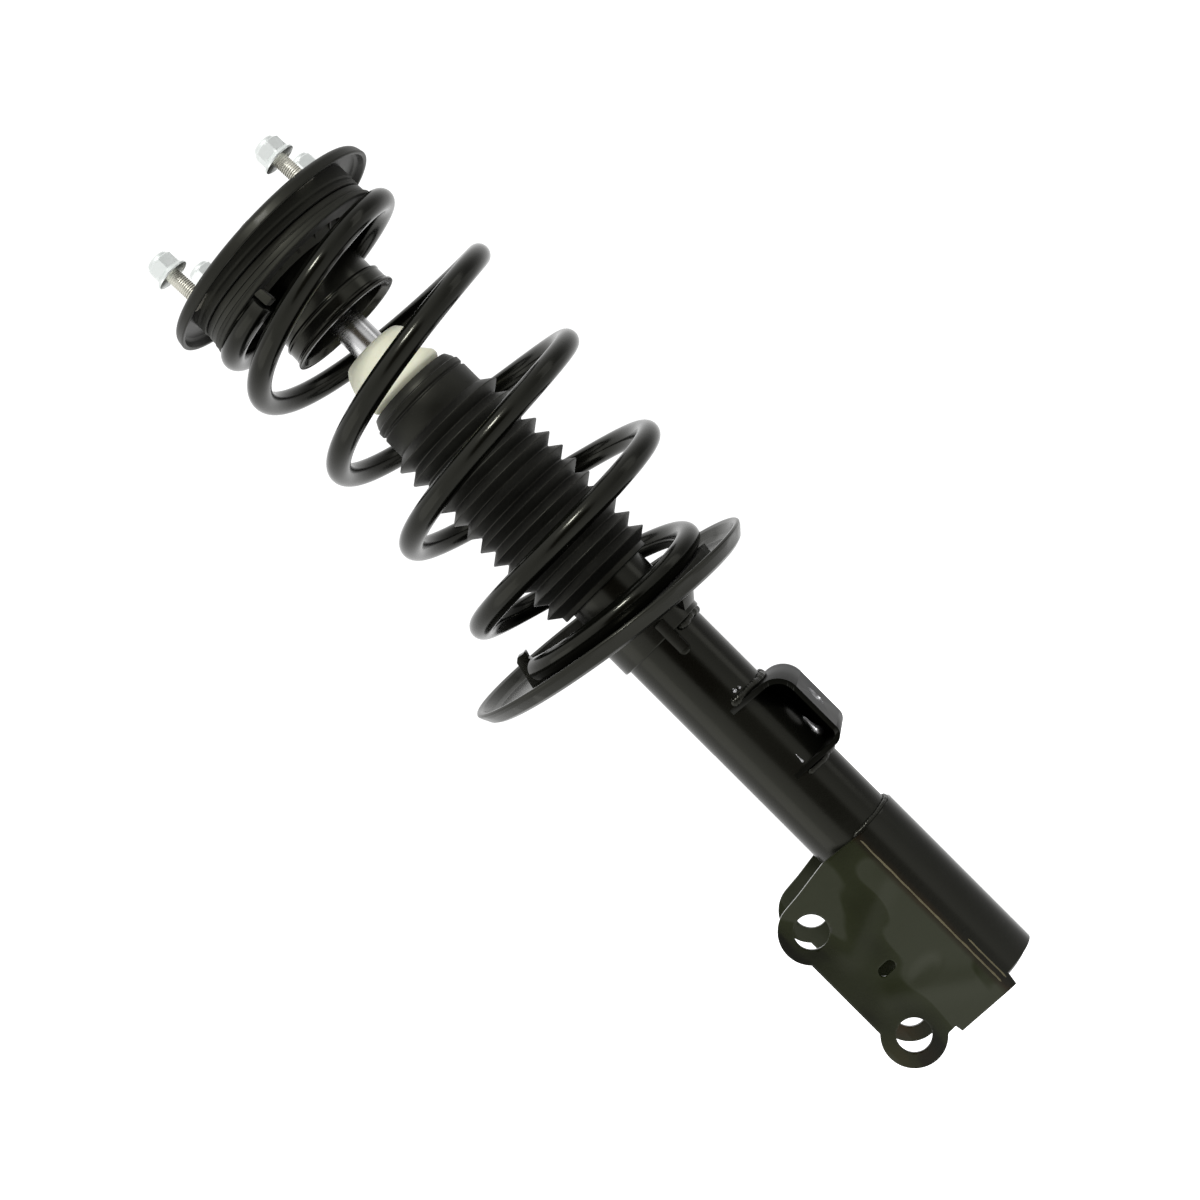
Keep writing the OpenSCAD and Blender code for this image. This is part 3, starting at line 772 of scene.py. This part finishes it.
def coil_point(t):
    """The wire's centre after t turns from the top end."""
    drop = COIL_PITCH * (corner(t - TOP_FLAT, 0.18) - corner(t - LOW_FLAT, 0.35))
    radius = COIL_R - COIL_TOP_NARROW * (1 - soft(t / 1.5)) - COIL_LOW_NARROW * soft((t - 3.9) / 1.1)
    lean = MOUNT_LEAN - (MOUNT_LEAN + SEAT_LEAN) * soft((t - 1) / 3.4)
    pitch_lean = 4 * soft((t - 3) / 2)
    a = math.radians(COIL_START - 360 * t)
    x = COIL_BOW * (1 - ((t - 2.4) / 1.9) ** 2) + radius * math.cos(a)
    y = radius * math.sin(a)
    z = COIL_TOP_Z - drop + x * math.tan(math.radians(lean)) + y * math.tan(math.radians(pitch_lean))
    return Vector((x, y, z))


def coil_spring():
    """The wire is swept in round rings. Each ring's share of the travel is worked out, but nothing keeps or
    uses it."""
    sides, per_turn = 32, 88
    length = COIL_TURNS - COIL_FIRST
    count = int(length * per_turn)
    turns = [COIL_FIRST + length * i / count for i in range(count + 1)]
    rows = [(turns[0], 0.86)] + [(t, 1.0) for t in turns] + [(turns[-1], 0.86)]
    verts, shares = [], []
    for i, (t, scale) in enumerate(rows):
        along = (coil_point(t + 0.002) - coil_point(t - 0.002)).normalized()
        side = Vector((0, 0, 1)).cross(along).normalized()
        up = along.cross(side)
        centre = coil_point(t)
        if i == 0:
            centre -= along * 0.5
        elif i == len(rows) - 1:
            centre += along * 0.5
        for k in range(sides):
            b = 2 * math.pi * k / sides
            verts.append(centre + (side * math.cos(b) + up * math.sin(b)) * WIRE_R * scale)
            shares.append(min(1.0, max(0.0, (t - TOP_FLAT) / (LOW_FLAT - TOP_FLAT))))
    piece = make("coil_spring_wire", verts, capped_faces(len(rows), sides), SPRING_PAINT, sharp=40)
    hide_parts("coil_spring")
    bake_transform(piece)


# ---- bump stop and boot ----


def bump_stop():
    z = FOAM_TOP
    outline = rounded([
        (ROD_R + 0.3, z, 0.6), (18.5, z, 2.5), (21.3, z - 3.6, 3), (23.2, z - 7.8, 4), (FOAM_R, z - 11.5, 2),
        (FOAM_R, z - 13, 2), (18.8, z - 17.4, 2.2), (FOAM_R, z - 24.4, 3), (FOAM_R, z - 27.4, 3),
        (18.8, z - 34, 3), (23.5, z - 40, 3), (23.5, z - 45, 3), (17, z - 51.5, 3), (20.5, z - 57.5, 3),
        (20.5, z - 62, 3), (15, z - 68.5, 3), (16, z - FOAM_H, 2), (ROD_R + 0.3, z - FOAM_H, 1)], 10)
    piece = lathe("bump_stop_foam", outline, FOAM, LEVEL, 128)
    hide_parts("bump_stop")
    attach(piece, "bump_stop_unit")


def boot_outline():
    pitch = (FOLD_TOP - FOLD_LOW) / FOLDS
    outer, inner = [], []
    for i in range(FOLDS):
        z = FOLD_TOP - i * pitch
        outer += [(VALLEY_R, z, 0.7), (RIDGE_R, z - pitch / 2, 0.55)]
        inner += [(VALLEY_R - BOOT_WALL, z, 0.5), (RIDGE_R - BOOT_WALL, z - pitch / 2, 0.4)]
    top = [(25.0, BOOT_TOP, 0.5), (27.2, BOOT_TOP, 0.6), (29.2, BOOT_TOP - 3.8, 0.8),
           (29.4, BOOT_TOP - 5.4, 0.4), (30.6, BOOT_TOP - 6.0, 0.4), (30.6, BOOT_TOP - 9.0, 0.5),
           (29.1, BOOT_TOP - 10.2, 0.6), (30.8, BOOT_TOP - 11.6, 0.6), (30.8, FOLD_TOP + 1.2, 1)]
    low = [(VALLEY_R, FOLD_LOW, 0.6), (VALLEY_R, FOLD_LOW - 3.5, 0.6), (TUBE_R + 0.3, FOLD_LOW - 3.5, 0.4),
           (TUBE_R + 0.3, FOLD_LOW, 0.4), (VALLEY_R - BOOT_WALL, FOLD_LOW + 1.2, 0.5)]
    back = [(28.6, FOLD_TOP + 1.6, 0.5), (28.6, BOOT_TOP - 13, 0.5), (27, BOOT_TOP - 10.4, 0.5),
            (25.0, BOOT_TOP - 9, 0.5)]
    return rounded(top + outer + low + inner[:0:-1] + back, 18)


def dust_boot():
    piece = lathe("dust_boot_bellows", boot_outline(), BOOT_RUBBER, LEVEL, 160, sharp=60)
    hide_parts("dust_boot")
    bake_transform(piece)


# ---- tube and lower seat ----


def strut_tube():
    outline = rounded([
        (0, TUBE_END), (18, TUBE_END, 4), (TUBE_R - 0.2, TUBE_END + 2.4, 4.5), (TUBE_R, TUBE_END + 9),
        (TUBE_R, TUBE_TOP, 2.5), (11.2, TUBE_TOP, 0.5), (11.2, TUBE_TOP - 4), (0, TUBE_TOP - 4)])
    piece = lathe("strut_tube_body", outline, TUBE_PAINT, LEVEL, 160)
    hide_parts("reserve_tube", "base_cap", "gland_cap")
    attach(piece, "strut_tube")


def lower_seat():
    """Pressed pan with a thin rim, shallow pads pressed out of its wall, and a hole that fits the tube."""
    outline = rounded([
        (12, -DISH_D - SEAT_T), (12, -DISH_D), (81, -DISH_D, 3), (83.8, -5.6, 3), (87.2, -1, 2),
        (89.4, 0, 1), (SEAT_R - 0.9, 0, 0.9), (SEAT_R, -1.2, 0.9), (SEAT_R - 0.9, -3.4, 1.6),
        (SEAT_R - 4.2, -DISH_D - 0.8, 2.2), (SEAT_R - 7.2, -DISH_D - SEAT_T, 1.6)], 8)

    def pads(r, a, z):
        if r < 83 or z > -1.5:
            return 0
        lift = 0
        for spot, width in ((-92, 3.2), (-79, 7.5), (-54, 5.5), (-20, 6),
                            (35, 6), (80, 6), (140, 6), (200, 6)):
            swing = (math.degrees(a) - spot + 180) % 360 - 180
            lift += 0.9 * math.exp(-((swing / width) ** 4) - ((z + 5.2) / 2.6) ** 4)
        return lift

    piece = lathe("lower_seat_dish", outline, TUBE_PAINT, SEAT, 240, bump=pads)
    room = [(0, -320), (TUBE_R - 0.3, -320), (TUBE_R - 0.3, -250), (0, -250)]
    cut(piece, lathe("room", room, TUBE_PAINT, LEVEL, 160), "DIFFERENCE")
    tidy(piece.data, 32.0)
    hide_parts("lower_spring_seat")
    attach(piece, "strut_tube")


def seat_collar():
    """Sleeve under the lower seat, with a gusset on its right."""
    sleeve = rounded([(TUBE_R - 0.4, COLLAR_LOW, 0.3), (COLLAR_R, COLLAR_LOW, 1), (COLLAR_R, -288),
                      (TUBE_R - 0.4, -288)])
    parts = [lathe("sleeve", sleeve, TUBE_PAINT, LEVEL, 128)]
    gusset = rounded([(22, -296), (33.5, -299, 2), (32.5, -306, 3), (25.6, COLLAR_LOW, 1),
                      (22, COLLAR_LOW)])
    parts.append(lathe("gusset", gusset, TUBE_PAINT, LEVEL, 40, (-38, 26)))
    piece = join("seat_collar_sleeve", parts)
    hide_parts("seat_collar")
    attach(piece, "strut_tube")


def spring_stop():
    outline = rounded([(-6, 0), (4.5, 0), (4, 9, 2), (2.4, 14.5, 1.5), (3.2, 18.6, 0.6), (0.6, 18, 0.8),
                       (-2.4, 18.4, 1.4), (-4.6, 16, 1.4), (-5, 9, 2)])
    place = SEAT @ Matrix.Translation((STOP_X * MM, 0, (-DISH_D + 0.05) * MM))
    piece = make("spring_stop_tab", *prism(outline, [], -4.5, 4.5, "Y"), TUBE_PAINT, place)
    bevel(piece, 0.8, 3)
    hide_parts("spring_end_stop")
    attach(piece, "strut_tube")


def locating_tab():
    """Hangs over the collar, and its rounded end rests on the tube."""
    outline = rounded([(-3.1, 23, 0.8), (3.2, 23, 0.8), (3.2, 0, 3.1), (-3.1, 0, 3.1)], 10)
    outline = [(x + TAB_X, z + TAB_Z) for x, z in outline]
    piece = make("locating_tab_plate", *prism(outline, [], -TUBE_R - 5.5, -TUBE_R + 4, "Y"), TUBE_PAINT)
    core = rounded([(0, -335), (TUBE_R - 0.3, -335), (TUBE_R - 0.3, -314.2), (28.0, -314.2),
                    (28.0, -300), (0, -300)])
    cut(piece, lathe("core", core, TUBE_PAINT, LEVEL, 160), "DIFFERENCE")
    bevel(piece, 0.7, 3)
    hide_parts("locating_tab")
    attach(piece, "strut_tube")


# ---- brackets ----


def brighten_bore(piece, yaw, radius):
    """Bare steel on the wall of the link hole, which also stands in as a painted highlight there: faces near
    its axis that do not face along it.
    """
    piece.data.materials.append(STEEL)
    back = yaw.inverted()
    for face in piece.data.polygons:
        spot, way = back @ (face.center / MM), back @ face.normal
        near = math.hypot(spot.y, spot.z - LINK_HOLE_Z) < radius
        if near and abs(way.x) < 0.98 and spot.x > LINK_REACH - 5:
            face.material_index = 1


def link_bracket():
    """Open box of thin sheet: two legs, an outer wall and a back wall."""
    low = LINK_TOP - LINK_H

    def box(inset, left):
        reach = LINK_REACH - inset
        return rounded([(left, low + inset), (reach, low - 0.4 * LINK_SLOPE + inset, 7 - inset),
                        (reach, LINK_TOP - LINK_SLOPE - inset, 14 - inset), (left, LINK_TOP - inset)], 6)

    yaw = Matrix.Rotation(math.radians(LINK_YAW), 4, "Z")
    solid = prism(box(0, 2), [], LINK_Y[0], LINK_Y[1], "Y")
    piece = make("link_bracket_box", *solid, LINK_PAINT, yaw)
    room = prism(box(LINK_T, -4), [], LINK_Y[0] - 8, LINK_Y[1] - LINK_T, "Y")
    cut(piece, make("room", *room, LINK_PAINT, yaw), "DIFFERENCE")
    hole = prism(circle(0, LINK_HOLE_Z, LINK_HOLE_R), [], LINK_REACH - 8, LINK_REACH + 8, "X")
    cut(piece, make("hole", *hole, LINK_PAINT, yaw), "DIFFERENCE")
    core = rounded([(0, low - 8), (TUBE_R - 0.3, low - 8), (TUBE_R - 0.3, LINK_TOP + 5), (0, LINK_TOP + 5)])
    cut(piece, lathe("core", core, LINK_PAINT, LEVEL, 160), "DIFFERENCE")
    bevel(piece, 0.6, 3)
    flatten(piece, yaw.to_3x3() @ Vector((1, 0, 0)))
    brighten_bore(piece, yaw, 7.0)
    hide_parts("link_bracket")
    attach(piece, "strut_tube")


def ear_outline():
    """Side view of the knuckle bracket, seen along the bolts."""
    high, low = BOLT_Z
    notch = math.degrees(math.acos((EAR_X - EAR_EDGE) / EAR_R))
    points = [(50, WRAP_TOP), (3, WRAP_TOP + 0.5), (-22, WRAP_TOP + 3), (-44, WRAP_TOP - 0.4)]
    points += arc_points(EAR_X, high, EAR_R, 96, 180 + notch)
    points += arc_points(EAR_X, low, EAR_R, 180 - notch, 318)
    points += [(-38, -577), (-33, -577), (-32.2, -581.4), (7, -583), (8.2, -575.4), (50, WRAP_END)]
    return points


def slot_outline(x, z, length, width):
    """A slot with round ends, lying along X."""
    r = width / 2
    reach = length / 2 - r
    return arc_points(x + reach, z, r, -90, 90, 12) + arc_points(x - reach, z, r, 90, 270, 12)


def sheet_relief(x, z):
    """Pressed ribs on the ears: how far the sheet stands out."""
    def ridge(x0, z0, x1, z1, width, height):
        d = Vector((x1 - x0, z1 - z0))
        p = Vector((x - x0, z - z0))
        t = min(1.0, max(0.0, p.dot(d) / d.length_squared))
        away = (p - d * t).length
        return height * math.exp(-((away / width) ** 2))
    lift = ridge(-46, -508, -6, -492, 7, 0.35)
    lift += ridge(-46, -541, -8, -566, 7, 0.35)
    dimple = ((x + 22.5) / 9.0) ** 2 + ((z + 543) / 5.0) ** 2
    return lift - 0.5 * math.exp(-(dimple ** 2))


def knuckle_bracket():
    """A sheet bent round the tube into two ears, then cut to its side view."""
    mid = TUBE_R + BRACKET_T / 2
    step = 1.5
    path = []
    flats = int(78 / step)
    for i in range(flats):
        path.append((-78 + i * step, -mid, 0.0, -1.0))
    arcs = int(math.pi * mid / step)
    for i in range(arcs + 1):
        a = -math.pi / 2 + math.pi * i / arcs
        path.append((mid * math.cos(a), mid * math.sin(a), math.cos(a), math.sin(a)))
    for i in range(1, flats + 1):
        path.append((-i * step, mid, 0.0, 1.0))
    heights = [-455 - i * step for i in range(int(135 / step))]
    verts = []
    for offset in (-BRACKET_T / 2, BRACKET_T / 2):
        for z in heights:
            for x, y, nx, ny in path:
                lift = offset + (sheet_relief(x, z) if x < -1 else 0)
                verts.append((x + nx * lift, y + ny * lift, z))
    rows, columns = len(heights), len(path)
    half = rows * columns
    inner = ring_faces(rows, columns, False, False)
    faces = inner + [tuple(i + half for i in reversed(f)) for f in inner]
    rim = [k for k in range(columns)] + [i * columns + columns - 1 for i in range(1, rows)]
    rim += [(rows - 1) * columns + k for k in reversed(range(columns - 1))]
    rim += [i * columns for i in reversed(range(1, rows - 1))]
    faces += [(rim[i], rim[(i + 1) % len(rim)], rim[(i + 1) % len(rim)] + half, rim[i] + half)
              for i in range(len(rim))]
    piece = make("knuckle_bracket_sheet", verts, faces, BRACKET_PAINT)
    holes = [circle(EAR_X, z, BOLT_R) for z in BOLT_Z] + [slot_outline(*SLOT)]
    cut(piece, make("cutter", *prism(ear_outline(), holes, -45, 45, "Y"), BRACKET_PAINT), "INTERSECT")
    tidy(piece.data, 35)
    bevel(piece, 0.45, 2, 50, 35)
    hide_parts("knuckle_bracket")
    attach(piece, "strut_tube")


# ---- welds ----


def bead(points, outward, radius, seed, material=TUBE_PAINT):
    """A weld bead along points: overlapping ripples, a little uneven."""
    rng = random.Random(seed)
    phase = rng.random() * 6
    sides = 14
    verts = []
    length = 0.0
    for i, p in enumerate(points):
        if i:
            length += (p - points[i - 1]).length
        ahead = points[min(i + 1, len(points) - 1)]
        behind = points[max(i - 1, 0)]
        along = (ahead - behind).normalized()
        out = outward(p)
        across = along.cross(out).normalized()
        ripple = 0.12 * abs(math.sin(length * 1.9 + phase))
        ripple += 0.28 * noise.noise(p * 0.3 + Vector((seed, 0, 0)))
        ends = min(1.0, 0.35 + min(i, len(points) - 1 - i) * 0.22)
        size = radius * (0.9 + ripple) * ends
        for k in range(sides):
            b = 2 * math.pi * k / sides
            verts.append(p + (out * math.cos(b) * 0.8 + across * math.sin(b) * 1.15) * size)
    return make("bead", verts, capped_faces(len(points), sides), material, sharp=50)


def around_tube(z, start, end, radius=TUBE_R, wave=0.5, seed=1.0, slope=0.0):
    """A wavering path round the tube at height z, from start to end degrees; slope lowers it towards +X."""
    count = max(8, int(abs(end - start) * radius * math.pi / 180 / 0.45))
    points = []
    for i in range(count + 1):
        a = math.radians(start + (end - start) * i / count)
        sway = wave * noise.noise(Vector((a * 3, seed, 0)))
        x, y = radius * math.cos(a), radius * math.sin(a)
        points.append(Vector((x, y, z + sway - slope * x)))
    return points


def drop(x, y, z, radius, length):
    """A lump where a bead stopped, in bare steel that also stands in as a painted highlight: round below,
    drawn out to a point above.
    """
    outline = [(0, -radius)]
    outline += [(radius * math.cos(a), radius * math.sin(a)) for a in np.radians(range(-75, 31, 15))]
    outline += [(radius * 0.35, length * 0.45), (radius * 0.22, length * 0.8), (0, length)]
    return lathe("drop", outline, STEEL, Matrix.Translation((x * MM, y * MM, z * MM)), 24, sharp=80)


def welds():
    def out(p):
        return Vector((p.x, p.y, 0)).normalized()

    def front(_):
        return Vector((0, -1, 0))

    parts = [
        bead(around_tube(LINK_TOP + 1.7, -80, 74, TUBE_R + 0.8, 1.1, 1.0, 0.07), out, 2.2, 1),
        bead(around_tube(LINK_TOP - LINK_H - 1.9, -72, 74, TUBE_R + 0.4, 0.8, 2.0, 0.03), out, 1.8, 2),
        bead(around_tube(-314.8, -59, -2, TUBE_R + 1.0, 1.2, 3.0), out, 2.1, 3),
        bead(around_tube(WRAP_TOP + 0.9, -88, 88, TUBE_R + 0.9, 0.5, 4.0), out, 1.5, 4),
    ]
    # The seam beads' light colour is rust and a painted highlight along the seam.
    seam = [Vector((2.2 + 0.25 * noise.noise(Vector((i * 0.07, 0, 0))), -TUBE_R - BRACKET_T + 0.25, z))
            for i, z in enumerate(np.arange(-467, -577, -0.5))]
    parts.append(bead(seam, front, 0.5, 5, SEAM_RUST_AND_HIGHLIGHT))
    parts.append(bead([p + Vector((3.6, 0.12, 0)) for p in seam[160:]], front, 0.4, 6, SEAM_RUST_AND_HIGHLIGHT))
    # Lumps of bare steel on the welds, partly painted highlights where the paint glints.
    parts += [drop(11.2, -TUBE_R + 0.3, -361.0, 1.3, 2.0), drop(14.0, -TUBE_R + 2.5, -361.8, 1.0, 1.6),
              drop(10.2, -TUBE_R + 0.6, -414.5, 0.9, 6.0), drop(25.6, -2.5, -411.0, 3.4, 13.0)]
    piece = join("weld_bead_set", parts)
    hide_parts("tube_welds")
    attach(piece, "strut_tube")


# ---- CAD nodes that stay ----

KEPT = {
    "core_sleeve": STEEL, "rebound_stop": SEAT_PLASTIC, "valve_shims": STEEL, "piston": ALLOY,
    "piston_band": SEAT_PLASTIC, "piston_nut": STEEL, "upper_bearing_race": STEEL, "bearing_balls": STEEL,
    "lower_bearing_race": STEEL, "bearing_cage": CAGE_PLASTIC, "rod_seal": RUBBER, "rod_guide": ALLOY,
    "guide_bush": BRONZE, "working_cylinder": STEEL, "foot_valve": ALLOY, "lower_spring_pad": RUBBER,
}


def dress_kept_nodes():
    for name, material in KEPT.items():
        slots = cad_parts[name].data.materials
        slots.clear()
        slots.append(material)


# ---- studio ----

FLOOR_Z = -1.05
FLOOR_HALF = 8.0


def add_floor():
    verts = [(x * FLOOR_HALF / MM, y * FLOOR_HALF / MM, FLOOR_Z / MM)
             for x, y in ((-1, -1), (1, -1), (1, 1), (-1, 1))]
    material, nodes, links, shader = new_material("floor")
    tone = object_noise(nodes, links, 1.5, 2)
    links.new(ramp(nodes, links, tone, [(0.2, grey(0.93)), (0.8, grey(0.96))]), shader.inputs["Base Color"])
    shader.inputs["Roughness"].default_value = 0.9
    shader.inputs["Specular IOR Level"].default_value = 0.1
    shader.inputs["Emission Color"].default_value = (1, 1, 1, 1)
    shader.inputs["Emission Strength"].default_value = 0.95
    floor = make("floor", verts, [(0, 1, 2, 3)], material)
    floor.visible_glossy = False
    floor.visible_diffuse = False


def add_world():
    """A studio: a dark gap in front of the object, brighter to its left than to its right,
    over a white table. The camera itself sees plain white."""
    world = bpy.data.worlds.new("studio")
    world.use_nodes = True
    bpy.context.scene.world = world
    nodes, links = world.node_tree.nodes, world.node_tree.links
    coords = nodes.new("ShaderNodeTexCoord")

    def towards(way):
        node = nodes.new("ShaderNodeVectorMath")
        node.operation = "DOT_PRODUCT"
        node.inputs[1].default_value = way
        links.new(coords.outputs["Generated"], node.inputs[0])
        place = nodes.new("ShaderNodeMapRange")
        place.inputs["From Min"].default_value = -1
        links.new(node.outputs["Value"], place.inputs["Value"])
        return place.outputs["Result"]

    gap = CAM_AZIMUTH + math.radians(5)
    front = towards((math.sin(gap), -math.cos(gap), 0))
    right = towards((math.cos(CAM_AZIMUTH), math.sin(CAM_AZIMUTH), 0))
    above = towards((0, 0, 1))
    shade = ramp(nodes, links, front, [(0.0, grey(1.0)), (0.5, grey(0.85)), (0.8, grey(0.9)),
                                       (0.935, grey(0.7)), (0.965, (0.06, 0.05, 0.038))])
    side = ramp(nodes, links, right, [(0.0, grey(0.8)), (0.5, grey(0.95)), (0.82, grey(0.7)),
                                      (1.0, grey(0.25))])
    shade = mix(nodes, links, 1.0, shade, side, "MULTIPLY")
    table = ramp(nodes, links, above, [(0.0, grey(0.6)), (0.385, grey(0.5)), (0.425, grey(0.0))])
    shade = mix(nodes, links, 1.0, shade, table, "LIGHTEN")
    plain = nodes.new("ShaderNodeLightPath").outputs["Is Camera Ray"]
    colour = mix(nodes, links, plain, shade, (1.0, 1.0, 1.0))
    background = nodes["Background"]
    links.new(colour, background.inputs["Color"])
    background.inputs["Strength"].default_value = 1.15


def add_light(name, azimuth, elevation, distance, size, energy):
    """A soft panel. Azimuth 0 is at the camera's side, and turns towards +X."""
    a = CAM_AZIMUTH + math.radians(azimuth)
    e = math.radians(elevation)
    way = Vector((math.sin(a) * math.cos(e), -math.cos(a) * math.cos(e), math.sin(e)))
    data = bpy.data.lights.new(name, "AREA")
    data.shape = "RECTANGLE"
    data.size, data.size_y = size
    data.energy = energy
    light = bpy.data.objects.new(name, data)
    light.location = Vector((0, 0, CAM_HEIGHT)) + way * distance
    light.rotation_euler = way.to_track_quat("Z", "Y").to_euler()
    bpy.context.scene.collection.objects.link(light)


def add_studio():
    add_floor()
    add_world()
    add_light("key", 12, 42, 1.7, (0.3, 0.2), 11)
    add_light("left_panel", -75, 5, 1.6, (0.9, 1.6), 2.5)
    add_light("right_panel", 80, 10, 1.8, (0.5, 1.4), 1.5)
    bpy.context.scene.view_settings.view_transform = "Standard"


add_camera()
mount_plate()
mount_rubber()
mount_studs()
stud_nuts()
rod_top()
piston_rod()
upper_seat()
upper_insulator()
jounce_cup()
coil_spring()
bump_stop()
dust_boot()
strut_tube()
lower_seat()
seat_collar()
spring_stop()
locating_tab()
link_bracket()
knuckle_bracket()
welds()
dress_kept_nodes()
add_studio()
